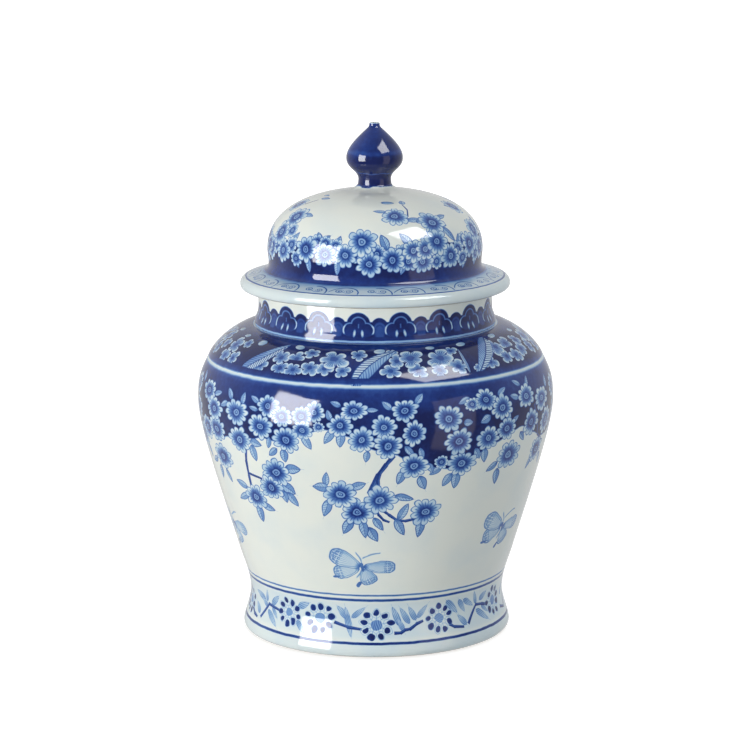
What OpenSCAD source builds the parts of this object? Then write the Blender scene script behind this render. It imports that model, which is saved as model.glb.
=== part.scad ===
// Lidded ginger jar in porcelain, on a splayed foot.
// Every piece is turned about the Z axis. The origin lies on that axis, in the plane on which
// the foot ring rests. The jar is one body and the lift-off lid is the other. Each clay section
// is a node of its own, and neighbours in one body meet on flat rings, as they were luted.

/* [Foot] */
// Outer radius of the flat ring that the jar rests on
rest_r = 69.6; // [68:0.1:70.2]
// Inner radius of the bare foot ring
foot_ring_r = 62; // [58:0.5:63.5]
// Largest radius of the splayed skirt
skirt_r = 75.6; // [74:0.1:78]
// Radius of the waist above the skirt
waist_r = 71.5; // [70:0.1:73]
// Height of the waist
waist_z = 22; // [20:0.5:24]
// Thickness of the jar's floor
floor_t = 6; // [4:0.5:8]

/* [Belly] */
// Radius of the belly at its widest
belly_r = 100; // [97:0.5:104]
// Height of the widest point
belly_z = 133; // [129:0.5:136]
// Thickness of the jar's wall
jar_wall = 4.8; // [3.8:0.1:5.4]

/* [Shoulder and neck] */
// Height of the ridge where the shoulder is luted to the belly
ridge_z = 156.7; // [154:0.1:158]
// Radius at that ridge
ridge_r = 94; // [92:0.1:95]
// Height of the line where the neck rises from the shoulder
neck_z = 174.9; // [173.5:0.1:176.5]
// Outer radius of the neck
neck_r = 65.5; // [64.5:0.1:66.5]
// Inner radius of the neck, which is the mouth
mouth_r = 60.5; // [60:0.1:61.5]
// Height of the neck's rim
mouth_z = 194.7; // [192:0.1:196]

/* [Lid] */
// Outer radius of the lid's flange
flange_r = 75.6; // [74:0.1:78]
// Radius of the dome's upright side
dome_r = 60.2; // [59.5:0.1:61.5]
// Thickness of the dome's wall
lid_wall = 4.7; // [3.5:0.1:5]
// Height of the dome's crown, where the knob stands on it
crown_z = 253; // [250:0.5:256]
// Radial play between the locating ring and the neck
ring_play = 1.5; // [0.8:0.1:2]
// Depth of the locating ring below the flange
ring_depth = 10; // [6:0.5:14]
// Vertical gap between the neck's rim and the flange
lid_gap = 0.3; // [0.2:0.05:0.5]

/* [Knob] */
// Largest radius of the bud-shaped knob
knob_r = 15.8; // [14.5:0.1:17]
// Height of the whole object, at the knob's tip
top_z = 287.1; // [286:0.1:289]
// Radius of the vent hole in the knob's tip
vent_r = 1.2; // [0.8:0.1:1.6]

/* [Hidden] */
$fn = 180;

// Steps along each curve of an outline
steps = 14;
// Height of the luted ring between the foot section and the belly
foot_top_z = 34.4;
foot_top_r = waist_r + 1.9;
// Place and slope of the belly's lower wall where its straight stretch ends
low_wall = [belly_r - 22, 48.6];
low_slope = [0.28, 0.96];
// Underside of the floor, flush with the top of the bare ring
floor_z = 6;
// Radius of the rabbet in which the bare ring sits
rabbet_r = 71;
// Lowest line of the glazed skirt
skirt_z = 0.8;
// Underside of the lid's flange
flange_z = mouth_z + lid_gap;
// Foot of the dome, where it rises from the flange
dome_z = flange_z + 10;
ring_outer_r = mouth_r - ring_play;
ring_inner_r = ring_outer_r - 3.5;
knob_z = crown_z + 14.6;
stub_r = 9.4;
tip_r = 3.2;
knob_wall = 3;

// Points along a cubic curve from a to d, drawn towards the control points b and c
function curve(a, b, c, d, n = steps) =
    [for (i = [0:n]) let (t = i / n, s = 1 - t)
        s * s * s * a + 3 * s * s * t * b + 3 * s * t * t * c + t * t * t * d];

// Inner side of a wall whose outer outline runs upwards. Both ends are level with the outline's.
function inner_side(outer, wall) =
    [for (i = [0:len(outer) - 1])
        let (last = len(outer) - 1, run = i == 0 || i == last ? [0, 1] : outer[i + 1] - outer[i - 1])
            outer[i] + wall * [-run[1], run[0]] / norm(run)];

function reversed(points) = [for (i = [len(points) - 1:-1:0]) points[i]];

// Solid of revolution with the outline given as [radius, height] points
module turned(outline) {
    rotate_extrude() polygon(outline);
}

// Bare clay ring under the foot, rounded where it meets the table
module foot_ring() {
    color("tan") turned([
        [foot_ring_r, floor_z], [foot_ring_r, 1.2], [foot_ring_r + 0.4, 0.4], [foot_ring_r + 1.3, 0],
        [rest_r, 0], [rest_r + 0.9, 0.25], [rabbet_r, skirt_z], [rabbet_r, floor_z]]);
}

// Splayed skirt, waist and floor, glazed inside and out
module jar_foot() {
    skirt_low = curve([rabbet_r + 1.4, skirt_z], [rabbet_r + 3.6, skirt_z],
                      [skirt_r, 2], [skirt_r, 4.2], 6);
    skirt_side = curve([skirt_r, 4.2], [skirt_r, 6.8], [waist_r, waist_z - 6], [waist_r, waist_z]);
    above_waist = curve([waist_r, waist_z], [waist_r, waist_z + 4],
                        [foot_top_r - 1.2, foot_top_z - 4], [foot_top_r, foot_top_z], 6);
    inside_r = foot_top_r - jar_wall;
    bottom_r = waist_r - jar_wall - 1;
    inside_z = floor_z + floor_t;
    inside = curve([inside_r, foot_top_z], [bottom_r, waist_z + 3],
                   [bottom_r, inside_z], [bottom_r - 12, inside_z], 10);
    color("lightsteelblue") turned(concat(
        [[rabbet_r, skirt_z]], skirt_low, skirt_side, above_waist,
        inside, [[0, inside_z], [0, floor_z], [rabbet_r, floor_z]]));
}

// Belly wall, from the foot section up to the ridge below the shoulder
function belly_outline() = concat(
    curve([foot_top_r, foot_top_z], [foot_top_r + 1.1, foot_top_z + 4],
          low_wall - 6 * low_slope, low_wall, 6),
    curve(low_wall, low_wall + 20 * low_slope, [belly_r, belly_z - 17], [belly_r, belly_z], 22),
    curve([belly_r, belly_z], [belly_r, belly_z + 10.8],
          [ridge_r + 4.8, ridge_z - 9.6], [ridge_r, ridge_z], 12));

module jar_belly() {
    outer = belly_outline();
    color("royalblue") turned(concat(outer, reversed(inner_side(outer, jar_wall))));
}

// Shoulder, from the ridge inwards and up to the neck's base
module jar_shoulder() {
    top_r = neck_r + 2;
    outer = curve([ridge_r, ridge_z], [ridge_r - 3.4, ridge_z + 8],
                  [top_r + 10, neck_z], [top_r, neck_z], 18);
    inner = curve([ridge_r - jar_wall, ridge_z], [ridge_r - jar_wall - 3, ridge_z + 6.5],
                  [mouth_r + 18, neck_z - 5.2], [mouth_r + 4, neck_z - 4.8], 12);
    color("slateblue") turned(concat(
        outer, [[mouth_r, neck_z], [mouth_r, neck_z - 2.6]], reversed(inner)));
}

// Neck with its bare rim, open at the mouth
module jar_neck() {
    base_r = neck_r + 2;
    flare = curve([base_r, neck_z + 1.8], [base_r, neck_z + 4.5],
                  [neck_r, neck_z + 5.5], [neck_r, neck_z + 10], 8);
    color("steelblue") turned(concat(
        [[mouth_r, neck_z], [base_r, neck_z]], flare,
        [[neck_r, mouth_z - 1.4], [neck_r - 0.4, mouth_z - 0.4], [neck_r - 1.4, mouth_z],
         [mouth_r + 1, mouth_z], [mouth_r, mouth_z - 1]]));
}

// Dome and flange of the lid, with the short white stub under the knob
module lid_shell() {
    rim = curve([flange_r - 3, flange_z], [flange_r + 0.9, flange_z - 0.2],
                [flange_r + 1.1, flange_z + 5.4], [flange_r - 3.2, flange_z + 6.9], 10);
    slope = curve([flange_r - 3.2, flange_z + 6.9], [flange_r - 8, flange_z + 8.4],
                  [dome_r + 3, dome_z - 0.6], [dome_r + 1.2, dome_z + 0.4], 5);
    side = curve([dome_r + 1.2, dome_z + 0.4], [dome_r - 0.3, dome_z + 3.5],
                 [dome_r, dome_z + 7], [dome_r, dome_z + 11], 6);
    dome = curve([dome_r, dome_z + 11], [dome_r, dome_z + 22.5],
                 [55, crown_z - 8], [16, crown_z - 3.4], 22);
    stub = curve([16, crown_z - 3.4], [12.5, crown_z - 2.6],
                 [stub_r + 0.6, crown_z - 1.6], [stub_r, crown_z], 5);
    inside_r = dome_r - lid_wall;
    inside = curve([inside_r, dome_z + 10], [inside_r, dome_z + 21],
                   [50, crown_z - 12.6], [14, crown_z - 8.4], 16);
    color("cornflowerblue") turned(concat(
        [[ring_inner_r, flange_z]], rim, slope, side, dome, stub,
        [[0, crown_z], [0, crown_z - 7.8]], reversed(inside)));
}

// Bare locating ring under the flange. It drops inside the neck and keeps the lid from sliding.
module lid_locating_ring() {
    low_z = flange_z - ring_depth;
    color("wheat") turned([
        [ring_inner_r, flange_z], [ring_inner_r, low_z + 1.2], [ring_inner_r + 1.2, low_z],
        [ring_outer_r - 1.2, low_z], [ring_outer_r, low_z + 1.6], [ring_outer_r, flange_z]]);
}

// Hollow bud-shaped knob, vented through its tip
module lid_knob() {
    waist = [[stub_r, crown_z], [stub_r - 0.3, crown_z + 2.5]];
    low = curve([stub_r - 0.3, crown_z + 2.5], [stub_r - 0.3, crown_z + 7.8],
                [knob_r, knob_z - 6.4], [knob_r, knob_z], 12);
    high = curve([knob_r, knob_z], [knob_r, knob_z + 5.1],
                 [tip_r + 7, top_z - 7.4], [tip_r + 0.1, top_z - 2.6], 14);
    tip = curve([tip_r, top_z - 1.6], [tip_r, top_z - 0.5],
                [tip_r - 0.4, top_z], [tip_r - 0.9, top_z], 4);
    hollow_r = stub_r - knob_wall;
    hollow_low = curve([hollow_r, crown_z + 3], [hollow_r, crown_z + 8],
                       [knob_r - knob_wall, knob_z - 5], [knob_r - knob_wall, knob_z], 8);
    hollow_high = curve([knob_r - knob_wall, knob_z], [knob_r - knob_wall, knob_z + 4],
                        [vent_r + 4, top_z - 9], [vent_r, top_z - 7], 8);
    color("midnightblue") turned(concat(
        waist, low, high, tip,
        [[vent_r + 0.4, top_z], [vent_r, top_z - 0.6]],
        reversed(hollow_high), reversed(hollow_low), [[hollow_r, crown_z]]));
}

foot_ring();
jar_foot();
jar_belly();
jar_shoulder();
jar_neck();
lid_shell();
lid_locating_ring();
lid_knob();
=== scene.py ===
import math
import bpy
import numpy as np
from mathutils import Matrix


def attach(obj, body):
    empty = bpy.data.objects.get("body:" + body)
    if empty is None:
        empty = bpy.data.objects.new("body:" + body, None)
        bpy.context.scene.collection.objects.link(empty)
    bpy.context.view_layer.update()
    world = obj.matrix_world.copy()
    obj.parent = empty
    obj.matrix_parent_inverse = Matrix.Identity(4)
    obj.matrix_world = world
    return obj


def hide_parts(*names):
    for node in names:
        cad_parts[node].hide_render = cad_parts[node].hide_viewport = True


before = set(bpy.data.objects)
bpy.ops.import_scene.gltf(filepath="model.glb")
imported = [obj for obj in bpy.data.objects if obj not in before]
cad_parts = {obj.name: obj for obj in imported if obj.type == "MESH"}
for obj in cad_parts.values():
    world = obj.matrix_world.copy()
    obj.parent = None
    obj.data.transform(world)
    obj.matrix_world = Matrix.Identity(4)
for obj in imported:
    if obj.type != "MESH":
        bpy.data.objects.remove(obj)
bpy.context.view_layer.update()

# ---- Camera and studio ----
# The jar stands on a pale floor that runs out of sight. One window-like soft light stands on
# each side in front, and the walls behind are brighter than the room on the viewer's side.

JAR_MIDDLE = 0.15
CAMERA_PITCH = 11.17
CAMERA_ROLL = 0.25


def studio_light(name, azimuth, elevation, distance, width, height, radiance, in_glaze,
                 colour=(1, 1, 1)):
    """A flat light that faces the jar. Azimuth 0 is in front of it and 90 to its right.

    Lights seen in the glaze only make its reflections. The others only light the colours.
    """
    turn, lift = math.radians(azimuth), math.radians(elevation)
    away = (math.sin(turn) * math.cos(lift), -math.cos(turn) * math.cos(lift), math.sin(lift))
    at = (distance * away[0], distance * away[1], JAR_MIDDLE + distance * away[2])
    bpy.ops.object.light_add(type="AREA", location=at, rotation=(math.pi / 2 - lift, 0, turn))
    lamp = bpy.context.active_object
    lamp.name = name
    lamp.data.shape = "RECTANGLE"
    lamp.data.size = width
    lamp.data.size_y = height
    lamp.data.energy = radiance * math.pi * width * height
    lamp.data.color = colour
    lamp.visible_glossy = in_glaze
    lamp.visible_diffuse = not in_glaze
    lamp.visible_camera = False


def add(tree, kind, inputs, **settings):
    """Adds a shader node. inputs holds values to set and sockets to link."""
    node = tree.nodes.new("ShaderNode" + kind)
    for name, value in settings.items():
        setattr(node, name, value)
    for index, value in inputs.items():
        value = getattr(value, "socket", value)
        if isinstance(value, bpy.types.NodeSocket):
            tree.links.new(value, node.inputs[index])
        else:
            node.inputs[index].default_value = value
    return node


bpy.ops.object.camera_add(
    location=(-0.0003, -1.6686, 0.4738), rotation=(math.radians(90 - CAMERA_PITCH), 0, 0))
camera = bpy.context.active_object
camera.rotation_euler.rotate_axis("Z", math.radians(-CAMERA_ROLL))
camera.data.lens = 144.9
camera.data.sensor_width = 36
bpy.context.scene.camera = camera
bpy.context.scene.view_settings.view_transform = "Standard"

studio_light("window_left", -54, 9, 2, 1.05, 1.4, 14, True)
studio_light("window_right", 58, 55, 2, 1.15, 0.95, 9.5, True)
studio_light("doorway", 51, -3, 2, 1, 2.2, 0.9, True, (1, 0.86, 0.8))
studio_light("key", -42, 5, 2.2, 2, 0.6, 12.2, False, (1, 0.99, 0.955))
studio_light("fill", 56, 3, 1.6, 1.6, 0.4, 3.2, False, (0.9, 0.96, 1))
studio_light("overhead", 105, 62, 2.4, 2.4, 2.4, 0.95, False)

bpy.ops.mesh.primitive_plane_add(size=60)
floor = bpy.context.active_object
floor.name = "studio_floor"
floor.visible_glossy = False
floor.visible_diffuse = False
floor_paint = bpy.data.materials.new("floor_paper")
floor_paint.use_nodes = True
tree = floor_paint.node_tree
paper = tree.nodes["Principled BSDF"]
for name, value in (("Base Color", (0.55, 0.55, 0.55, 1)), ("Roughness", 0.9),
                    ("Specular IOR Level", 0.1), ("Emission Color", (1, 1, 1, 1))):
    paper.inputs[name].default_value = value
run_out = add(tree, "VectorMath", {0: add(tree, "TexCoord", {}).outputs["Object"]}, operation="LENGTH")
glow = add(tree, "MapRange", {0: run_out.outputs["Value"], 1: 0.25, 2: 1.6, 3: 0.7, 4: 0.98})
tree.links.new(glow.outputs[0], paper.inputs["Emission Strength"])
floor.data.materials.append(floor_paint)

room = bpy.data.worlds.new("studio_room")
bpy.context.scene.world = room
room.use_nodes = True
tree = room.node_tree
tree.nodes["Background"].inputs["Color"].default_value = (1, 1, 1, 1)
direction = add(tree, "SeparateXYZ", {0: add(tree, "TexCoord", {}).outputs["Generated"]})
walls = add(tree, "MapRange", {0: direction.outputs["Y"], 1: -0.5, 2: 0.5, 3: 0.2, 4: 0.66},
            interpolation_type="SMOOTHSTEP")
seen = add(tree, "LightPath", {}).outputs["Is Camera Ray"]
backdrop = add(tree, "Math", {0: walls.outputs[0], 1: seen}, operation="MAXIMUM")
tree.links.new(backdrop.outputs[0], tree.nodes["Background"].inputs["Strength"])

# ---- Foot ring ----
# Ring of bare fired clay under the foot, on which the jar stands. It is turned with the foot
# section and wiped clean of glaze, so it is matt, pale brown and a little gritty.

MM = 0.001
RING_INNER = 62
FLOOR_Z = 6
RABBET_R = 71


def turned(name, outline, around=300):
    """Spins a closed outline of [radius, height] points, in millimetres, round the Z axis."""
    bpy.ops.mesh.primitive_circle_add(vertices=len(outline), radius=MM)
    piece = bpy.context.active_object
    piece.name = name
    piece.data.name = name
    for vertex, (radius, height) in zip(piece.data.vertices, outline):
        vertex.co = (radius * MM, 0, height * MM)
    on_axis = [edge.index for edge in piece.data.edges
               if all(outline[v][0] < 1e-6 for v in edge.vertices)]
    bpy.ops.object.mode_set(mode="EDIT")
    bpy.ops.mesh.select_mode(type="EDGE")
    bpy.ops.mesh.select_all(action="DESELECT")
    bpy.ops.object.mode_set(mode="OBJECT")
    for index in on_axis:
        piece.data.edges[index].select = True
    bpy.ops.object.mode_set(mode="EDIT")
    if on_axis:
        bpy.ops.mesh.delete(type="EDGE")
    bpy.ops.mesh.select_mode(type="VERT")
    bpy.ops.mesh.select_all(action="SELECT")
    bpy.ops.mesh.spin(steps=around, angle=math.tau, center=(0, 0, 0), axis=(0, 0, 1))
    bpy.ops.mesh.select_all(action="SELECT")
    bpy.ops.mesh.remove_doubles(threshold=MM / 200)
    bpy.ops.mesh.normals_make_consistent(inside=False)
    bpy.ops.object.mode_set(mode="OBJECT")
    bpy.ops.object.shade_smooth_by_angle(angle=math.radians(38))
    return piece


def curve(a, b, c, d, step=1.9):
    """Points at even steps along a cubic curve from a to d, drawn towards b and c."""
    t = np.linspace(0, 1, 200)[:, None]
    a, b, c, d = (np.array(p, float) for p in (a, b, c, d))
    fine = (1 - t) ** 3 * a + 3 * (1 - t) ** 2 * t * b + 3 * (1 - t) * t ** 2 * c + t ** 3 * d
    return stepped(fine, step)


def stepped(points, step):
    """The same line through points, with a point every step millimetres or so."""
    points = np.array(points, float)
    run = np.concatenate([[0], np.cumsum(np.hypot(*np.diff(points, axis=0).T))])
    count = max(1, round(run[-1] / step))
    at = np.linspace(0, run[-1], count + 1)
    return np.stack([np.interp(at, run, points[:, 0]), np.interp(at, run, points[:, 1])], 1)


def joined(*lines):
    """One outline from lines that follow each other, without doubled points."""
    points = [tuple(p) for line in lines for p in np.array(line, float)]
    return [p for p, before in zip(points, [points[-1]] + points[:-1])
            if math.dist(p, before) > 1e-4]


class Wash:
    """A number in a material's node tree. Arithmetic on it adds the math nodes for it."""

    def __init__(self, tree, socket):
        self.tree = tree
        self.socket = socket

    def calc(self, operation, *others):
        inputs = dict(enumerate((self, *others)))
        return Wash(self.tree, add(self.tree, "Math", inputs, operation=operation).outputs[0])

    def __add__(self, other):
        return self.calc("ADD", other)

    def __sub__(self, other):
        return self.calc("SUBTRACT", other)

    def __mul__(self, other):
        return self.calc("MULTIPLY", other)

    def __truediv__(self, other):
        return self.calc("DIVIDE", other)

    def size(self):
        return self.calc("ABSOLUTE")

    def rise(self, start, end, low=0, high=1):
        """Goes smoothly from low to high while this number goes from start to end."""
        inputs = dict(enumerate((self, start, end, low, high)))
        node = add(self.tree, "MapRange", inputs, interpolation_type="SMOOTHSTEP")
        return Wash(self.tree, node.outputs[0])

    def line(self, centre, half, soft):
        """1 within half of centre, falling to 0 over soft."""
        return (self - centre).size().rise(half, half + soft, 1, 0)

    def top(self, other):
        return self.calc("MAXIMUM", other)

    def least(self, other):
        return self.calc("MINIMUM", other)

    def under(self, wash, cover):
        """Another wash laid over this one, where cover is 1."""
        return Wash(self.tree, add(self.tree, "Mix", {0: cover, 2: self, 3: wash}).outputs[0])


def length(x, y):
    return (x * x + y * y).calc("SQRT")


def cloud(tree, vector, scale, detail):
    """Soft noise from 0 to 1 at that many clouds a metre."""
    node = add(tree, "TexNoise", {"Vector": vector, "Scale": scale, "Detail": detail})
    return Wash(tree, node.outputs["Fac"])


def shades(tree, value, stops):
    """Colours that follow a number from 0 to 1. stops are (place, colour)."""
    ramp = add(tree, "ValToRGB", {0: value})
    elements = ramp.color_ramp.elements
    while len(elements) < len(stops):
        elements.new(0.5)
    for element, (place, colour) in zip(elements, stops):
        element.position = place
        element.color = (*colour, 1)
    return ramp.outputs["Color"]


def new_material(name):
    material = bpy.data.materials.new(name)
    material.use_nodes = True
    tree = material.node_tree
    place = add(tree, "TexCoord", {}).outputs["Object"]
    return material, tree, tree.nodes["Principled BSDF"], place


def roughen(tree, shader, height, depth, strength):
    """Bump of that depth in metres on a shader."""
    bump = add(tree, "Bump", {"Distance": depth, "Strength": strength, "Height": height})
    tree.links.new(bump.outputs[0], shader.inputs["Normal"])


def dress(piece, body, node, material):
    piece.data.materials.clear()
    piece.data.materials.append(material)
    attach(piece, body)
    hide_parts(node)


bare_clay, tree, shader, place = new_material("bare_clay")
grit = cloud(tree, place, 900, 4)
stain = cloud(tree, place, 55, 3)
clay_tone = (grit * 0.35 + stain * 0.65).rise(0.3, 0.7)
CLAY = [(0, (0.42, 0.33, 0.23)), (0.5, (0.56, 0.46, 0.35)), (1, (0.68, 0.6, 0.48))]
tree.links.new(shades(tree, clay_tone, CLAY), shader.inputs["Base Color"])
tree.links.new(grit.rise(0.2, 0.8, 0.72, 0.92).socket, shader.inputs["Roughness"])
roughen(tree, shader, grit, 0.00025, 0.6)

foot_ring = turned("foot_ring_clay", joined(
    [[RING_INNER, FLOOR_Z]],
    stepped([[RING_INNER, 1.3], [62.1, 0.7], [62.5, 0.25], [63.2, 0]], 0.7),
    stepped([[63.3, 0], [69.4, 0]], 2),
    stepped([[69.6, 0], [70.2, 0.08], [70.7, 0.35], [RABBET_R, 0.8]], 0.5),
    [[RABBET_R, FLOOR_Z]]), 240)
dress(foot_ring, "jar", "foot_ring", bare_clay)

# ---- Foot ----
# Splayed skirt, waist and floor of the jar, thrown in one. The band of blossoms, twigs and
# leaves between its border lines is brushed on in cobalt before the clear glaze.

SKIRT_R = 75.6
WAIST = (71.5, 22)
FOOT_TOP = (73.4, 34.4)
INNER_R, INNER_FLOOR = 65.7, 12
JAR_WALL = 4.8

foot_outer = joined(
    curve([RABBET_R + 1.4, 0.8], [RABBET_R + 3.6, 0.8], [SKIRT_R, 2], [SKIRT_R, 4.2], 1),
    curve([SKIRT_R, 4.2], [SKIRT_R, 6.8], [WAIST[0], 16], WAIST),
    curve(WAIST, [WAIST[0], 26], [FOOT_TOP[0] - 1.2, FOOT_TOP[1] - 4], FOOT_TOP))
foot_inside = joined(
    curve([FOOT_TOP[0] - JAR_WALL, FOOT_TOP[1]], [INNER_R, 25],
          [INNER_R, INNER_FLOOR], [INNER_R - 12, INNER_FLOOR], 4),
    stepped([[INNER_R - 12, INNER_FLOOR], [0, INNER_FLOOR]], 9))
jar_foot = turned("jar_foot_glazed", joined(
    [[RABBET_R, 0.8]], foot_outer, foot_inside, stepped([[0, FLOOR_Z], [RABBET_R, FLOOR_Z]], 12)))


def motif(name, draw):
    """A node group that draws one motif from its own place: x and y run from -1 to 1."""
    tree = bpy.data.node_groups.new(name, "ShaderNodeTree")
    tree.interface.new_socket("Place", in_out="INPUT", socket_type="NodeSocketVector")
    tree.interface.new_socket("Ink", in_out="OUTPUT", socket_type="NodeSocketFloat")
    tree.interface.new_socket("Cover", in_out="OUTPUT", socket_type="NodeSocketFloat")
    split = add(tree, "SeparateXYZ", {0: tree.nodes.new("NodeGroupInput").outputs[0]})
    ink, cover = draw(*(Wash(tree, socket) for socket in split.outputs))
    ending = tree.nodes.new("NodeGroupOutput")
    tree.links.new(ink.socket, ending.inputs[0])
    tree.links.new(cover.socket, ending.inputs[1])
    return tree


def values_of(items, name, width=1, kind=float):
    """A property of a mesh's vertices, faces or corners, as one array."""
    values = np.empty(len(items) * width, kind)
    items.foreach_get(name, values)
    return values.reshape(-1, width).squeeze()


def lay_motifs(piece, outer, name, places, margin, most):
    """Gives the faces under each motif that motif's own coordinates, as corner attributes.

    A place is (angle, height, half length, half width, direction): degrees from the front,
    millimetres, and degrees from level. Level motifs leave out the last, and round ones the
    last two. Motifs that overlap go to different layers.
    """
    mesh = piece.data
    vertex_of = values_of(mesh.loops, "vertex_index", 1, np.int32)
    corners = values_of(mesh.vertices, "co", 3)[vertex_of] / MM
    starts = values_of(mesh.polygons, "loop_start", 1, np.int32)
    totals = values_of(mesh.polygons, "loop_total", 1, np.int32)
    normals = values_of(mesh.polygons, "normal", 3)
    centres = np.add.reduceat(corners, starts, axis=0) / totals[:, None]
    outer = np.array(outer)
    rising = outer[np.argsort(outer[:, 1])]
    layers = []
    for index, place in enumerate(places):
        angle, height, half_length, half_width, direction = (*place, *(place[2], 0)[len(place) - 3:])
        turn, lean = math.radians(angle), math.radians(direction)
        radius, above, below = np.interp((height, height + 0.5, height - 0.5), rising[:, 1], rising[:, 0])
        out = np.array([math.sin(turn), -math.cos(turn), 0])
        right = np.array([math.cos(turn), math.sin(turn), 0])
        up = (above - below) * out + np.array([0, 0, 1])
        up /= np.linalg.norm(up)
        facing = np.cross(right, up)
        along = math.cos(lean) * right + math.sin(lean) * up
        across = np.cross(facing, along)
        middle = radius * out + np.array([0, 0, height])
        offset = centres - middle
        near = (normals @ facing > 0.25) & (abs(offset @ facing) < 12)
        near &= abs(offset @ along) < half_length + margin
        near &= abs(offset @ across) < abs(half_width) + margin
        free = [layer for layer in layers if not layer["taken"][near].any()]
        if not free and len(layers) < most:
            values = np.tile(np.array([9.0, 9.0, 0.0]), (len(corners), 1))
            layers.append({"taken": np.zeros(len(centres), bool), "values": values})
            free = layers[-1:]
        layer = (free or layers[-1:])[0]
        layer["taken"] |= near
        mine = np.repeat(near, totals)
        offset = corners[mine] - middle
        layer["values"][mine] = np.stack(
            [offset @ along / half_length, offset @ across / half_width,
             np.full(mine.sum(), (index * 0.618) % 1)], 1)
    names = []
    for number, layer in enumerate(layers):
        attribute = mesh.attributes.new(f"{name}_{number}", "FLOAT_VECTOR", "CORNER")
        attribute.data.foreach_set("vector", layer["values"].astype(np.float32).ravel())
        names.append(attribute.name)
    return names


class Painting:
    """One piece's glazed material while its decoration is built up, wash over wash."""

    def __init__(self, name, piece, outer):
        self.piece = piece
        self.outer = outer
        self.material, tree, self.shader, self.place = new_material(name)
        self.tree = tree
        split = add(tree, "SeparateXYZ", {0: self.place})
        x, y, z = (Wash(tree, socket) / MM for socket in split.outputs)
        self.height = z
        self.radius = length(x, y)
        self.angle = x.calc("ARCTAN2", y * -1) * (180 / math.pi)
        self.wobble = cloud(tree, self.place, 160, 2) - 0.5
        unsteady = add(tree, "TexNoise", {"Vector": self.place, "Scale": 190, "Detail": 1.5})
        self.tremble = add(
            tree, "VectorMath", {0: unsteady.outputs["Color"], 1: (0.26, 0.26, 0), 2: (-0.13, -0.13, 0)},
            operation="MULTIPLY_ADD").outputs[0]
        self.ink = z * 0

    def lay(self, ink, cover):
        self.ink = self.ink.under(ink, cover)

    def number(self, name):
        """A number that the piece's vertices carry."""
        return Wash(self.tree, add(self.tree, "Attribute", {}, attribute_name=name).outputs["Fac"])

    def motifs(self, group, name, places, margin, most, strength=1, shake=1):
        """Paints a motif at its places, and again half a turn round on the back."""
        places = places + [(place[0] + 180, *place[1:]) for place in places]
        for layer in lay_motifs(self.piece, self.outer, name, places, margin, most):
            source = add(self.tree, "Attribute", {}, attribute_name=layer).outputs["Vector"]
            shaken = add(self.tree, "VectorMath", {0: self.tremble, 1: (shake, shake, 0), 2: source},
                         operation="MULTIPLY_ADD")
            node = add(self.tree, "Group", {0: shaken.outputs[0]}, node_tree=group)
            self.lay(Wash(self.tree, node.outputs[0]) * strength, Wash(self.tree, node.outputs[1]))

    def glaze(self, thin=None):
        """Ends the painting: cobalt tones under clear glaze. thin is 1 where clay shows through."""
        tree = self.tree
        pool = cloud(tree, self.place, 45, 3)
        brush = cloud(tree, self.place, 420, 3)
        ink = self.ink * (pool * 0.34 + brush * 0.2 + 0.74)
        ink = ink + pool.rise(0.35, 0.8, 0, 0.035)
        colour = shades(tree, ink, COBALT)
        if thin is not None:
            colour = add(tree, "Mix", {"Factor": thin, 6: colour, 7: (0.5, 0.38, 0.24, 1)},
                         data_type="RGBA").outputs[2]
        tree.links.new(colour, self.shader.inputs["Base Color"])
        tree.links.new(pool.rise(0.3, 0.7, 0.045, 0.1).socket, self.shader.inputs["Roughness"])
        self.shader.inputs["IOR"].default_value = 1.5
        swell = cloud(tree, self.place, 70, 1) + cloud(tree, self.place, 600, 1) * 0.05
        roughen(tree, self.shader, swell, 0.00035, 0.35)
        return self.material


COBALT = [
    (0, (0.745, 0.785, 0.745)), (0.12, (0.53, 0.66, 0.745)), (0.28, (0.29, 0.47, 0.68)),
    (0.48, (0.105, 0.23, 0.52)), (0.68, (0.03, 0.086, 0.33)), (0.84, (0.012, 0.036, 0.2)),
    (1, (0.006, 0.013, 0.09))]


def inside_leaf(x, y, fullness, taper, girth):
    """How far inside the edge of a pointed leaf a point lies."""
    return (x * x * -1 + 1).top(0).calc("POWER", fullness) * (x * taper + girth) - y.size()


def in_petals(x, y, petals, start):
    """Folds a blossom onto one petal.

    Gives the distance from the heart, the petal's number, the turn off its middle (-0.5 to
    0.5), and the place along and across it.
    """
    rho = length(x, y)
    turn = y.calc("ARCTAN2", x) * (petals / math.tau) + start
    number = turn.calc("FLOORED_MODULO", petals).calc("FLOOR")
    swing = turn.calc("FRACT") - 0.5
    bend = swing * (math.tau / petals)
    return rho, number, swing, rho * bend.calc("COSINE"), rho * bend.calc("SINE")


def draw_twig(x, y, seed):
    """A loaded brush stroke, a little thinner towards its end and paler along one side."""
    width = x * -0.12 + 0.86
    across = y.size() / width
    cover = across.rise(0.85, 1, 1, 0) * x.size().rise(0.97, 1, 1, 0)
    return y.line(0.35, 0.1, 0.3) * -0.16 + 0.79, cover


def draw_leaf(x, y, seed):
    """A pointed leaf with outline, midrib and slanting veins. Its tip is at x 1."""
    inside = inside_leaf(x, y, 0.72, -0.22, 0.86)
    cover = inside.rise(-0.05, 0.05)
    veins = (x * 3.2 - y.size() * 1.5 + seed).calc("FRACT").line(0.5, 0.05, 0.16) * 0.5
    fill = y.rise(-0.2, 0.2, 0.22, 0.4) + x.rise(-0.4, -1, 0, 0.25)
    rib = (y + x * x * 0.06).line(0, 0.03, 0.07) * 0.62
    edge = inside.rise(0.08, 0.3, 0.68, 0)
    return fill.top(veins).top(rib).top(edge), cover


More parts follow.
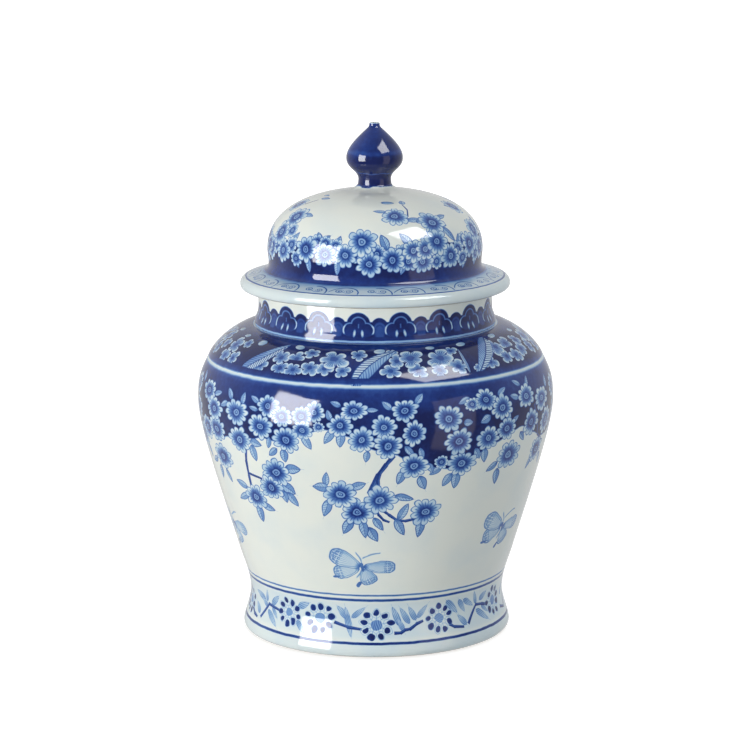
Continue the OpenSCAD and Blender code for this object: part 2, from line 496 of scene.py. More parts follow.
def draw_ring_blossom(x, y, seed):
    """A washed, finely striped centre with stamens out to a ring of nine dark dots."""
    rho, number, swing, px, py = in_petals(x, y, 9, seed * 5)
    shift = (number * 2.4 + seed * 9).calc("SINE") * 0.05
    dot = length((px - 0.77 + shift) / 1.2, py)
    size = (number * 4.1 + seed * 5).calc("SINE") * 0.02 + 0.178
    dot_cover = (dot - size).rise(-0.02, 0.03, 1, 0)
    petal = length((px - 0.72) / 1.3, py).line(0.23, 0.005, 0.03)
    stamen = py.line(0, 0.008, 0.03) * rho.rise(0.3, 0.35) * rho.rise(0.7, 0.76, 1, 0)
    heart = rho.rise(0.3, 0.36, 1, 0)
    stripe = (x * 9 + y * 2).calc("FRACT").line(0.5, 0.15, 0.3) * 0.18 + 0.34
    wash = (petal * 0.3).top(stamen * 0.36).top(rho.rise(0.8, 0.3, 0, 0.07))
    ink = wash.under(stripe, heart).under(dot * -0.8 + 0.94, dot_cover)
    return ink, dot_cover.top(heart).top(petal * 0.85).top(stamen * 0.9)


def draw_streaked_leaf(x, y, seed):
    """A long soft leaf of brush streaks that run to its tip at x 1."""
    inside = inside_leaf(x, y, 0.6, -0.3, 0.8)
    streaks = (y * 2.6 + x * x * 0.5 + seed).calc("FRACT").line(0.5, 0.08, 0.22)
    ink = streaks * 0.34 + x.rise(0.6, -0.8, 0.16, 0.34)
    return ink.top(inside.rise(0.04, 0.2, 0.52, 0)), inside.rise(-0.1, 0.1)


twig_group = motif("twig", draw_twig)
streaked_leaf_group = motif("streaked_leaf", draw_streaked_leaf)
leaf_group = motif("leaf", draw_leaf)
ring_blossom_group = motif("ring_blossom", draw_ring_blossom)


def strokes(*branches):
    """Brush strokes along branches, each a half width and its points (angle, height, radius)."""
    made = []
    for half_width, points in branches:
        for (angle, height, radius), (next_angle, next_height, next_radius) in zip(points, points[1:]):
            climb = next_height - height
            run = math.radians(next_angle - angle) * radius
            rise = math.copysign(math.hypot(climb, next_radius - radius), climb)
            made.append(((angle + next_angle) / 2, (height + next_height) / 2,
                         math.hypot(run, rise) / 2 + half_width * 0.6, half_width,
                         math.degrees(math.atan2(rise, run))))
    return made


foot_blossoms = [
    (-78, 19, 8.6, 8, 0), (-42.5, 21.2, 8.5, 8.3, 10), (-25.8, 21, 9.4, 8.7, 35), (-0.1, 18.8, 9.8, 8.8, 0),
    (28.8, 20.2, 8.5, 8.4, 50), (65.2, 21.6, 8.6, 8.8, 20)]
foot_paths = [
    [(-73, 15.5), (-70, 13.2), (-66.2, 12.3)], [(-62.5, 13.5), (-56.8, 22.2), (-49, 20.6)],
    [(-18.4, 19.4), (-12.5, 17.2), (-7, 16.4)],
    [(8, 14.2), (10.6, 14.2), (12.6, 15.6), (14.8, 15.9), (18, 18.5), (20.5, 19.6)],
    [(34, 15.8), (36, 14.1), (41, 13)],
    [(44.5, 14), (50.5, 23), (55, 22.2), (59.5, 20.8)],
    [(74, 15), (80, 13), (84, 20), (92, 21), (95, 16)]]
foot_twigs = strokes(*[(1.05, [(*point, 72) for point in path]) for path in foot_paths])
foot_leaves = [
    (-64, 25.4, 5.6, 2.4, 165), (-60.5, 22.4, 3.8, 1.8, 150), (-58, 26.6, 3.6, 1.6, 80),
    (-51.6, 25.6, 4.8, 2.2, 42), (-53.4, 15, 6.2, 2.2, -38), (-52, 18.4, 4, 1.6, -45),
    (-66.6, 17.6, 4.2, 2.2, 140), (-34, 27, 4.2, 2.4, 25), (-35.4, 14.4, 4.4, 2, -48),
    (-15.2, 25.6, 4.4, 2.4, 130), (-13.2, 24, 4.6, 2, 100), (-8, 25.6, 5, 1.8, 40),
    (-12.2, 18, 6.4, 2.2, -76), (8.6, 23.4, 6, 2.2, 112), (12.4, 23.6, 5.4, 2, 120),
    (10.6, 18.6, 4.2, 1.8, 115), (15.8, 24.6, 4.6, 2, 118), (20.4, 25.2, 4.6, 1.8, 52),
    (35.4, 25.4, 5.8, 2.4, -46), (41, 24.8, 4.6, 2, -58), (45, 25.8, 4.8, 2, -32),
    (41, 16.8, 4.4, 2.2, 132), (49.4, 27.4, 4.2, 1.6, 108), (55.4, 27, 3.8, 2.2, 30),
    (54.6, 16.4, 6.6, 2.3, -36), (57, 19.2, 4, 1.5, -40), (78, 25, 4.8, 2.2, 60), (86, 26, 4.4, 2, 150),
    (90, 15.5, 4.6, 2, -50), (96, 27, 4.2, 2, 30)]

paint = Painting("foot_painting", jar_foot, foot_outer)
z = paint.height + paint.wobble * 0.5
paint.lay(0.07, z.rise(9, 13) * z.rise(30, 33, 1, 0))
paint.lay(0.055, z.rise(8.4, 7.4))
paint.motifs(streaked_leaf_group, "leaf", foot_leaves, 1.6, 4, 0.92, 0.6)
paint.motifs(twig_group, "twig", foot_twigs, 1.6, 4)
paint.motifs(ring_blossom_group, "blossom", foot_blossoms, 1.6, 4)
paint.lay(0.8, z.line(8.8, 0.45, 0.5))
paint.lay(0.72, z.line(33, 0.45, 0.55))
dress(jar_foot, "jar", "jar_foot",
      paint.glaze(z.rise(0.9, 1.9, 0.85, 0)))

# ---- Belly ----
# The big round wall of the jar, luted on the foot section. A dark cobalt ground runs round
# its top, fringed by a garland of blossoms, with sprays and butterflies on the white below.

LOW_WALL = np.array([78, 48.6])
LOW_SLOPE = np.array([0.28, 0.96])
BELLY_R, BELLY_Z = 100, 133
RIDGE = (94, 156.7)

belly_outer = joined(
    curve(FOOT_TOP, [FOOT_TOP[0] + 1.1, FOOT_TOP[1] + 4], LOW_WALL - 6 * LOW_SLOPE, LOW_WALL),
    curve(LOW_WALL, LOW_WALL + 20 * LOW_SLOPE, [BELLY_R, BELLY_Z - 17], [BELLY_R, BELLY_Z]),
    curve([BELLY_R, BELLY_Z], [BELLY_R, BELLY_Z + 10.8], [RIDGE[0] + 4.8, RIDGE[1] - 9.6], RIDGE))

# The inner side runs from the top down, and its ends are level with the outer side's.
run = np.gradient(np.array(belly_outer), axis=0)
run[0] = run[-1] = (0, 1)
run /= np.hypot(*run.T)[:, None]
belly_inner = belly_outer + JAR_WALL * np.stack([-run[:, 1], run[:, 0]], 1)
jar_belly = turned("jar_belly_glazed", joined(belly_outer, stepped(belly_inner[::-1], 6)), 320)


def draw_blossom(petals, width, tip):
    """A blossom of rounded petals: pale tips, ink pooled between and below them, ringed heart."""
    def draw(x, y, seed):
        rho, number, swing, px, py = in_petals(x, y, petals, seed * 7)
        reach = (number * 2.1 + seed * 40).calc("SINE") * 0.07 + 0.98
        px, py = px / reach, py / reach
        girth = (px * 0.62 + 0.5) * width
        petal = length((px - 0.68) / 0.33, py / girth) * -1 + 1
        edge = petal.rise(0.04, 0.34, 0.6, 0)
        streak = py.line(0, 0.015, 0.06) * px.rise(0.88, 0.6) * 0.62
        pale = (number * 5.3 + seed * 17).calc("SINE") * 0.05 + tip
        fill = pale.under(0.66, px.rise(0.78, 0.38)).top(streak).top(edge)
        middle = rho.rise(0.58, 0.74, 1, 0)
        petal_cover = petal.rise(-0.08, 0.08)
        heart = rho.rise(0.22, 0.34, 1, 0)
        rings = rho.line(0.185, 0.025, 0.05).top(rho.line(0.05, 0.01, 0.04))
        ink = rho.rise(0.25, 0.6, 0.8, 0.62).under(fill, petal_cover)
        ink = ink.under(0.78, heart * 0.75).under(0.3, rings * 0.85)
        return ink, petal_cover.top(middle)
    return draw


def draw_butterfly(x, y, seed):
    """A swallowtail seen from above: veined wings, dotted borders, long feelers."""
    def lobe(cx, cy, half_length, half_width, degrees):
        a = math.radians(degrees)
        dx, dy = x - cx, y - cy
        u = (dx * math.cos(a) + dy * math.sin(a)) / half_length
        v = (dy * math.cos(a) - dx * math.sin(a)) / half_width
        return length(u, v * (u * -0.38 + 1)) * -1 + 1, u, v

    def feeler(cx, cy, radius, low, high):
        near = length(x - cx, y - cy).line(radius, 0.008, 0.03)
        return near * x.rise(low, low + 0.05) * x.rise(high - 0.05, high, 1, 0)

    ink, cover = None, None
    wings = ((0.16, -0.31, 0.31, 0.25, -66), (-0.5, -0.13, 0.43, 0.25, 196),
             (0.53, 0.02, 0.5, 0.21, -3), (-0.53, 0.27, 0.53, 0.29, 156))
    for number, wing in enumerate(wings):
        inside, u, v = lobe(*wing)
        veins = (v.calc("ARCTAN2", u + 1.1) * 6 + 0.2).calc("FRACT").line(0.5, 0.04, 0.2) * 0.34
        wash = v.rise(-0.3, 0.9 if number in (0, 2) else -0.9, 0.12, 0.27)
        spots = length((u * 4).calc("FRACT") - 0.5, (v * 2.6).calc("FRACT") - 0.5) - 0.26
        border = spots.line(0, 0.05, 0.14) * u.rise(0.15, 0.4) * 0.5
        border = border.top(inside.line(0.24, 0.015, 0.06) * 0.4)
        shade = wash.top(veins).top(border).top(inside.rise(0.03, 0.13, 0.6, 0))
        shade = shade.top(length(x + 0.01, (y - 0.04) * 1.3).rise(0.06, 0.34, 0.62, 0))
        wing_cover = inside.rise(-0.04, 0.04)
        ink = shade if ink is None else ink.under(shade, wing_cover)
        cover = wing_cover if cover is None else cover.top(wing_cover)
    for line in (feeler(-0.66, 0.1, 0.66, -0.2, 0.02), feeler(0.62, -0.52, 1.05, 0, 0.6)):
        ink = ink.under(0.44, line)
        cover = cover.top(line * 0.9)
    tails_and_body = ((-0.82, -0.38, 0.13, 0.05, 186), (-0.1, -0.6, 0.13, 0.06, 235),
                      (0, 0.02, 0.18, 0.05, 100))
    for part in tails_and_body:
        part_cover = lobe(*part)[0].rise(-0.05, 0.15)
        ink = ink.under(0.56, part_cover)
        cover = cover.top(part_cover)
    return ink, cover


blossom_group = motif("blossom", draw_blossom(10, 0.25, 0.125))
butterfly_group = motif("butterfly", draw_butterfly)

belly_blossoms = [
    (-67.3, 144, 9, 6.5), (-62.5, 135.4, 9.8, 7), (-61.7, 124, 10, 7.5), (-61.5, 108.3, 10.6, 7.6),
    (-49.4, 137, 10.2, 7.4), (-48.7, 121.8, 9.4, 7.7), (-38.7, 131.7, 8.9, 7.3), (-30.5, 138.6, 7, 5.8),
    (-35.7, 143.4, 8, 6.2), (-23.5, 140, 6.2, 6), (-23.4, 132.4, 6.6, 5.2), (-29.1, 126.2, 8.8, 7.6),
    (-19.4, 142.6, 6.4, 6.2), (-17.8, 134.8, 3.6, 3), (-10.9, 136.2, 7.2, 6.6), (-6.7, 144.4, 7.8, 5.6),
    (-4.4, 128.7, 7.8, 7.5), (2.5, 135.8, 7.3, 6.6), (9.1, 144.3, 7.9, 6.4), (11.8, 131.7, 7.1, 7.6),
    (3.8, 125, 8.5, 7.3), (12.2, 113.2, 8.7, 7.3), (23, 138.6, 9, 7.6), (26.8, 125.3, 9.1, 7.9),
    (28.5, 112.4, 9.5, 7.5), (21.2, 114.4, 4.4, 4.2), (37, 146.2, 7.7, 6.4), (31.5, 144.6, 4.6, 4),
    (43.5, 140.5, 8.3, 7.3), (45.6, 128.3, 8, 6.6), (37.7, 124.8, 8.3, 7.1), (48.3, 112.6, 10, 8.4),
    (56, 143.4, 8.5, 7), (58.8, 128.1, 8.6, 8), (66.4, 139, 9.5, 7.1), (71, 125.4, 9, 8), (67, 110, 9, 7.4),
    (80, 142, 8.6, 6.8), (82, 129.6, 8.4, 7.4), (90, 137, 8.6, 7), (92.4, 123.4, 8.6, 7.6),
    (99, 144, 8, 6.6), (101, 131, 8.4, 7.4), (103, 116.6, 8.4, 7.4), (110, 122.6, 8.4, 7.2),
    (82, 114.6, 8, 7), (-34.6, 106.2, 9.7, 8.5), (-38, 96.7, 8.4, 7.4), (-46.5, 89, 8.8, 7.8),
    (-6.6, 86.6, 8.8, 8.6), (-12, 96.8, 9.6, 8.7), (1.3, 94, 9.4, 8.8), (17.2, 85.9, 9, 8.8)]
belly_twigs = strokes(
    (1.15, [(-46, 119, 99), (-47.3, 109.5, 97), (-47.6, 101, 95), (-47.7, 92, 92)]),
    (0.9, [(-47.2, 102.6, 95), (-41.5, 101.2, 94)]),
    (1.5, [(5.2, 119, 98), (3, 114, 97), (0.6, 108.4, 96), (-2.2, 98.6, 94)]),
    (1.2, [(1.2, 109.4, 96), (0.6, 105, 95), (0.8, 99, 93)]),
    (1.05, [(1.8, 88.4, 90), (4.6, 84.8, 89), (7.4, 81.6, 88), (10.4, 81, 88), (14.8, 82.4, 88)]),
    (0.9, [(-0.2, 89, 90), (0.9, 85, 89), (2.6, 82, 88), (4.4, 80.8, 88)]),
    (0.9, [(60.6, 137, 100), (63, 127, 99), (65.2, 119, 98), (72, 112.4, 97)]))
belly_leaves = [
    (-53.2, 146.2, 3.8, 2.4, 130), (-46.4, 145.4, 3.5, 2.3, 80), (-41.3, 146, 3.6, 1.9, 155),
    (-41.5, 141, 3.4, 1.7, 172), (-56, 139.8, 4, 2, 205), (-60.4, 144.4, 4.4, 1.9, 15),
    (-12.6, 147.6, 3.2, 1.9, 160), (-1, 144.8, 3.2, 1.5, 0), (-14.6, 141.6, 3, 2.2, 110),
    (13.8, 150, 3.7, 2.2, 50), (3.5, 147, 3.3, 2.2, 140), (29.8, 135.3, 3, 2.4, 0), (28.8, 147, 4, 2, 200),
    (44.3, 149, 4, 1.9, 25), (49.6, 144.8, 3.8, 2.2, 165), (52.2, 151.4, 3.6, 1.8, 150),
    (58, 150.4, 4.2, 1.7, 62), (36.4, 135.7, 3.8, 2.9, 205), (49.4, 132.6, 3.4, 1.9, 30),
    (46.2, 134.6, 3.2, 2.2, 70), (72, 147, 3.8, 2, 60), (86, 148, 3.8, 2, 110), (93, 148.6, 3.8, 2, 70),
    (105, 149.6, 3.6, 2, 120), (-42.8, 115.6, 4.9, 3.1, -78), (-41.2, 121.8, 4.2, 2.8, -12),
    (-35.7, 123.2, 3.4, 2, -105), (-34.5, 118.3, 3.8, 2.3, -140), (-30.3, 117, 4, 3, -88),
    (-21.8, 126, 4.7, 2.9, -60), (-14.6, 129.7, 4.7, 2.7, -125), (-10.9, 128.4, 4.4, 2.9, -98),
    (-2.9, 119.4, 3.4, 2.2, -100), (-66.4, 97.8, 4.6, 2.4, -105), (-60.7, 97.2, 4.4, 2.4, -62),
    (-69.6, 104, 4.4, 2.2, 200), (10.6, 121.6, 4.2, 2.2, -52), (14.4, 120, 3.8, 2, -75),
    (19.4, 109.6, 4, 2.3, -150), (17.6, 111.6, 3.4, 2.2, -60), (8, 107, 4.5, 2.9, -112),
    (15.2, 103.4, 4.7, 3, -65), (23.8, 103.8, 4.4, 2.9, -122), (27, 102.8, 4.8, 3.2, -92),
    (37, 115.2, 4.2, 3, -82), (44, 101.4, 4.9, 2.8, -86), (41.2, 107.6, 4.5, 2.4, 212),
    (34, 117, 3.8, 2.4, -60), (54, 121.6, 3.6, 2.2, -50), (78, 121, 4.4, 2.4, -70),
    (73, 103, 4.6, 2.4, -60), (63, 104, 4.6, 2.4, -120), (97, 112, 4.6, 2.6, -60),
    (88, 113.6, 4.6, 2.6, -100), (106, 108, 4.8, 2.6, -75), (99, 107.4, 4.6, 2.6, -115),
    (84, 106, 4.6, 2.4, -80), (-27.8, 109.6, 5, 3.3, 5), (-30.6, 97.6, 4.6, 4, -35),
    (-29.6, 91.6, 5, 2.8, -55), (-32.6, 92.6, 3.8, 2.6, -80), (-46.2, 79.4, 5.2, 3.4, -88),
    (-41.4, 84.4, 5, 2.8, -18), (-52.8, 94.9, 5, 2.6, 165), (-53.6, 87.4, 5.6, 2.4, 205),
    (-16.5, 105.4, 4.4, 2.3, 82), (-18.6, 100.6, 4.6, 3.2, 180), (-5.9, 102.2, 4.6, 2.9, 22),
    (-17.2, 88.4, 5.6, 3.3, -112), (-10.2, 78, 5.4, 3.3, -118), (-4.4, 76.6, 5.8, 3, -82),
    (-1.2, 73.4, 5.2, 3.2, -62), (0.8, 79.6, 4.8, 2.5, -58), (9.4, 95, 5.6, 2.6, -15),
    (9.4, 86.6, 5.6, 2.7, 62), (8.4, 77.4, 5.6, 2.9, -62), (15.8, 76, 5.6, 2.9, -98)]
belly_butterflies = [(-72.5, 64.5, 17.5), (-5.6, 53, 17.5), (56, 67.6, 17.5)]

paint = Painting("belly_painting", jar_belly, belly_outer)
z = paint.height + paint.wobble * 0.6
ground_edge = [
    (-90, 120), (-78, 119), (-72, 119), (-66, 120), (-60, 119), (-55, 122), (-50, 123), (-43, 124),
    (-38, 126), (-35, 125), (-30, 124), (-25, 129), (-20, 132), (-17, 134), (-12, 132), (-8, 130),
    (-3, 125), (2, 121), (7, 120), (9, 117), (13, 112), (18, 112), (22, 111), (28, 109), (33, 114),
    (36, 118), (42, 122), (47, 125), (52, 127.4), (55, 127), (59, 123), (63, 121), (68, 117), (74, 117),
    (80, 121), (90, 120)]


def edge_height(piece, name, edge):
    """Height of each vertex above a painted ground's edge, the same on front and back."""
    co = values_of(piece.data.vertices, "co", 3) / MM
    angle = np.degrees(np.arctan2(co[:, 0], -co[:, 1]))
    half_turn = (angle + 90) % 180 - 90
    above = co[:, 2] - np.interp(half_turn, *zip(*edge))
    attribute = piece.data.attributes.new(name, "FLOAT", "POINT")
    attribute.data.foreach_set("value", above.astype(np.float32))


edge_height(jar_belly, "ground", ground_edge)
above = paint.number("ground") + paint.wobble * 2
paint.lay(z.rise(138, 153, 0.97, 0.84), above.rise(-0.8, 0.6))
paint.motifs(twig_group, "twig", belly_twigs, 1.4, 4)
paint.motifs(leaf_group, "leaf", belly_leaves, 1.2, 3)
paint.motifs(blossom_group, "blossom", belly_blossoms, 0.8, 4)
paint.motifs(butterfly_group, "butterfly", belly_butterflies, 1.6, 1, 1, 0.35)
paint.lay(0.55, z.line(35.9, 0.25, 0.5))
paint.lay(0.74, z.rise(152.4, 155.2))
paint.lay(0.09, z.rise(154.7, 156.3))
dress(jar_belly, "jar", "jar_belly", paint.glaze())

# ---- Shoulder ----
# The shoulder section, luted to the belly at a raised ridge where the glaze runs thin and
# pale. Its dark ground carries clusters of plum blossom and long feathered leaves.

NECK_R, NECK_Z, MOUTH_R, MOUTH_Z = 65.5, 174.9, 60.5, 194.7
shoulder_outer = curve(
    RIDGE, [RIDGE[0] - 3.4, RIDGE[1] + 8], [NECK_R + 12, NECK_Z], [NECK_R + 2, NECK_Z], 1.5)
shoulder_inner = curve(
    [RIDGE[0] - JAR_WALL, RIDGE[1]], [RIDGE[0] - JAR_WALL - 3, RIDGE[1] + 6.5],
    [MOUTH_R + 18, NECK_Z - 5.2], [MOUTH_R + 4, NECK_Z - 4.8], 5)
jar_shoulder = turned("jar_shoulder_glazed", joined(
    shoulder_outer, [[MOUTH_R, NECK_Z], [MOUTH_R, NECK_Z - 2.6]], shoulder_inner[::-1]), 320)


def draw_feather_leaf(x, y, seed):
    """A long leaf, hatched on one side of its midrib and washed on the other."""
    bent = y + x * x * 0.3 - 0.16
    inside = inside_leaf(x, bent, 0.6, -0.28, 0.76)
    hatch = (x * 9 + bent * 2.6).calc("FRACT").line(0.5, 0.1, 0.16) * 0.6 + 0.14
    vein = (x * 9 - bent * 3).calc("FRACT").line(0.5, 0.04, 0.3) * 0.22
    wash = x.rise(-1, 1, 0.38, 0.24) + bent.rise(-0.2, -0.9, 0, 0.1) + vein
    ink = hatch.under(wash, bent.rise(0, 0.08, 1, 0))
    rib = bent.line(0.03, 0.03, 0.06) * 0.74
    return ink.top(rib).top(inside.rise(0.03, 0.14, 0.55, 0)), inside.rise(-0.06, 0.06)


def draw_plum(x, y, seed):
    """A plum blossom: five broad petals with pale rims, streaked with blue to the middle."""
    rho, number, swing, px, py = in_petals(x, y, 5, seed * 7)
    reach = (number * 2.1 + seed * 40).calc("SINE") * 0.13 + 0.92
    px, py = px / reach, py / reach
    petal = length((px - 0.6) / 0.41, py / ((px * 0.5 + 0.6) * 0.42)) * -1 + 1
    streaks = (swing * 6 + seed * 3).calc("FRACT").line(0.5, 0.1, 0.26)
    streaks = streaks * px.rise(0.86, 0.62) * 0.64
    rim = petal.rise(0.14, 0.72, 0.09, 0.36) + px.rise(0.62, 0.28, 0, 0.36)
    ink = rim.top(streaks).top(petal.rise(0, 0.1, 0.56, 0))
    heart = (rho - number * 0.01).rise(0.16, 0.3, 1, 0)
    return ink.under(0.76, heart * 0.8), petal.rise(-0.08, 0.06).top(rho.rise(0.32, 0.4, 1, 0))


plum_group = motif("plum", draw_plum)
feather_group = motif("feather_leaf", draw_feather_leaf)
petal_group = motif("petal", lambda x, y, seed: (
    x.rise(-1, 1, 0.08, 0.3).top(y.line(0, 0.03, 0.1) * 0.4),
    length(x, y).rise(0.8, 0.95, 1, 0)))
shoulder_plums = [
    (-66.5, 168.4, 7, 6.4), (-67.5, 162.8, 5.8, 5.2), (-60.5, 162.8, 5.6, 5), (-59.3, 170.3, 4.4, 4),
    (-44, 163, 6, 5.4), (-36.8, 167.6, 6.4, 6), (-35, 163, 5.8, 5.2), (-30.2, 167.8, 6.2, 5.8),
    (-29.6, 162.9, 5.6, 5), (-25, 170.8, 5.6, 4.2), (-23.4, 164.4, 5.8, 5.4), (-18, 164.6, 5.4, 5),
    (-15.6, 168.8, 9.2, 7.4), (-11.6, 163.8, 4.6, 4.4), (-6.5, 170.8, 5.2, 4.6), (5.2, 163.8, 6.2, 5.6),
    (7.8, 168.2, 5.4, 5.2), (6.4, 171.8, 3.2, 2.8), (13.2, 169.2, 8.2, 6.6), (15, 163.6, 6, 5.4),
    (24.6, 168.4, 8.8, 7.2), (22.6, 163.2, 5.6, 4.8), (30.4, 171, 4.8, 4), (30.2, 164, 6.4, 5.6),
    (44.4, 164, 5.8, 5.4), (52.6, 169.4, 6.8, 6.2), (54.4, 164.6, 6, 5.4), (60.6, 169.8, 7, 6),
    (60.4, 164.2, 6, 5.4), (67, 165.6, 6, 5.4), (70, 169.6, 5.6, 5), (38, 162.2, 3.6, 3.2),
    (76, 165, 5.8, 5.4), (82, 169, 7.6, 6.6), (84, 163.6, 5.6, 5), (92, 165.4, 6, 5.6),
    (98, 169.6, 6.2, 5.6), (99.6, 163.8, 5.8, 5.2), (105, 167.4, 5, 4.6)]
shoulder_leaves = [
    (-45, 167, 16, -5.6, 46), (-0.9, 166.4, 17, 6, 46), (44.4, 168.2, 16.6, 5.8, 226),
    (90.5, 171, 9, 3.6, 20), (33.8, 166.6, 8.6, 1.3, 88)]
shoulder_petals = [
    (-52, 172, 3.6, 2.6, 10), (-32, 172.6, 3.4, 2.2, -12), (1.6, 172.4, 3.6, 2.2, 10),
    (22.6, 172.9, 3, 1.6, 0), (37.5, 173, 3.6, 2, 8), (59, 173.6, 4.2, 2, 12), (-67, 172.8, 3.2, 1.6, 10),
    (78, 172.8, 3.2, 1.8, 0), (100, 173.4, 3.2, 1.8, 0)]
paint = Painting("shoulder_painting", jar_shoulder, shoulder_outer)
z = paint.height + paint.wobble * 0.5
paint.lay(z.rise(157.5, 161, 0.74, 0.95) + z.rise(171.5, 174, 0, -0.12), z.rise(156.7, 158.5))
paint.motifs(petal_group, "petal", shoulder_petals, 1.2, 1)
paint.motifs(plum_group, "plum", shoulder_plums, 0.8, 3)
paint.motifs(feather_group, "feather", shoulder_leaves, 2.4, 2, 1, 0.4)
paint.lay(z.rise(158.4, 160.6, 0.8, 0.9), z.rise(160.9, 160.2) * z.rise(156.7, 158.5))
paint.lay(0.06, paint.radius.rise(68.9, 68.2))
dress(jar_shoulder, "jar", "jar_shoulder", paint.glaze())

# ---- Neck ----
# Upright neck, luted to the shoulder, with a bare rim that the lid covers. A row of lappets
# in the shape of cloud heads stands round its foot, dark blue with reserved white lines.

neck_outer = joined(
    [[NECK_R + 2, NECK_Z]],
    curve([NECK_R + 2, NECK_Z + 1.8], [NECK_R + 2, NECK_Z + 4.5],
          [NECK_R, NECK_Z + 5.5], [NECK_R, NECK_Z + 10], 1.4),
    stepped([[NECK_R, NECK_Z + 10], [NECK_R, MOUTH_Z - 1.4]], 1.6),
    [[NECK_R - 0.15, MOUTH_Z - 0.8], [NECK_R - 0.5, MOUTH_Z - 0.3], [NECK_R - 1.4, MOUTH_Z]])
jar_neck = turned("jar_neck_glazed", joined(
    [[MOUTH_R, NECK_Z]], neck_outer,
    [[MOUTH_R + 1, MOUTH_Z], [MOUTH_R + 0.3, MOUTH_Z - 0.3], [MOUTH_R, MOUTH_Z - 1]],
    stepped([[MOUTH_R, MOUTH_Z - 1], [MOUTH_R, NECK_Z]], 5)), 320)

LAPPETS = 18
paint = Painting("neck_painting", jar_neck, neck_outer)
angle = paint.angle + paint.wobble * 0.6
turn = (angle - 12) / (360 / LAPPETS) + 0.5
x = ((turn.calc("FRACT") - 0.5) * (math.tau * NECK_R / LAPPETS)).size()
y = paint.height + paint.wobble * 0.5 - NECK_Z
between = x - 11.45
head = length(x / 6.5, (y - 9.4) / 7)
scallop = length(between / 4.6, (y - 9) / 4.6)
paint.lay(0.94, head.least(scallop).rise(0.94, 1.08, 1, 0).top(y.rise(11.8, 11)))
paint.lay(0.74, length(between / 3.6, (y - 6) / 4.8).rise(0.55, 1, 1, 0))
arc = length(between / 2.9, (y - 7) / 3.6).line(1, 0.03, 0.3)
paint.lay(0.56, arc * y.rise(6.6, 8.6) * 0.6)
trefoil = length(x / 3.9, (y - 9.8) / 4.2).least(length((x - 4.4) / 3.9, (y - 6.9) / 3.8))
paint.lay(y.rise(9, 5, 0.92, 0.84), trefoil.rise(0.92, 1, 1, 0))
outline = trefoil.line(1, 0.03, 0.15) * y.rise(4.2, 5.6) * x.rise(2.4, 3.6).top(y.rise(8, 9))
ear = x.rise(5.8, 7) * y.rise(10.2, 8.4)
paint.lay(ear * -0.34 + 0.5, outline)
paint.lay(0.9, y.rise(4, 3))
drop = length((x + y * 0.1 - 2.7) / 0.95, (y - 5.2) / 2.3)
paint.lay(drop.rise(0.2, 1, 0.12, 0.6), drop.rise(1.1, 0.7))
paint.lay(0.6, x.line(0, 0.2, 0.4) * y.line(9.1, 0.8, 0.8))
paint.lay(0.26, y.line(0.8, 0.25, 0.7) * 0.9)
dress(jar_neck, "jar", "jar_neck",
      paint.glaze(paint.height.rise(MOUTH_Z - 1.2, MOUTH_Z - 0.3, 0, 0.9)))

# ---- Lid shell ----
# Dome and flange of the lid, thrown in one. The flange has a thick rounded rim and a ring of
# scrolls in thin blue line, and the dome a garland that grows out of a dark band.

FLANGE_Z = MOUTH_Z + 0.3
DOME_Z = FLANGE_Z + 10
FLANGE_R, DOME_R, CROWN_Z = 75.6, 60.2, 253
LID_WALL, KNOB_FOOT_R = 4.7, 9.4
RING_ROOM, RING_WALL, RING_DEPTH = 1.5, 3.5, 10
ring_outer_r = MOUTH_R - RING_ROOM
ring_inner_r = ring_outer_r - RING_WALL
flange_outer = joined(
    curve([FLANGE_R - 3, FLANGE_Z], [FLANGE_R + 0.9, FLANGE_Z - 0.2],
          [FLANGE_R + 1.1, FLANGE_Z + 5.4], [FLANGE_R - 3.2, FLANGE_Z + 6.9], 1),
    curve([FLANGE_R - 3.2, FLANGE_Z + 6.9], [FLANGE_R - 8, FLANGE_Z + 8.4],
          [DOME_R + 3, DOME_Z - 0.6], [DOME_R + 1.2, DOME_Z + 0.4], 1.4))
dome_outer = joined(
    curve([DOME_R + 1.2, DOME_Z + 0.4], [DOME_R - 1.9, DOME_Z + 1.8],
          [DOME_R - 0.15, DOME_Z + 7.5], [DOME_R, DOME_Z + 12], 1.2),
    curve([DOME_R, DOME_Z + 12], [DOME_R, DOME_Z + 22.5], [55, CROWN_Z - 8], [16, CROWN_Z - 3.4], 1.6),
    curve([16, CROWN_Z - 3.4], [12.5, CROWN_Z - 2.6], [10, CROWN_Z - 1.6], [KNOB_FOOT_R, CROWN_Z], 1.2))
lid_inside = curve([DOME_R - LID_WALL, DOME_Z + 10], [DOME_R - LID_WALL, DOME_Z + 21],
                   [50, CROWN_Z - 12.6], [14, CROWN_Z - 8.4], 5)
lid_shell = turned("lid_shell_glazed", joined(
    [[ring_inner_r, FLANGE_Z]], stepped([[ring_outer_r, FLANGE_Z], [FLANGE_R - 3, FLANGE_Z]], 4),
    flange_outer, dome_outer, [[4, CROWN_Z], [0, CROWN_Z]], [[0, CROWN_Z - 7.8]], lid_inside[::-1],
    stepped([[ring_inner_r, DOME_Z + 10], [ring_inner_r, FLANGE_Z]], 5)))

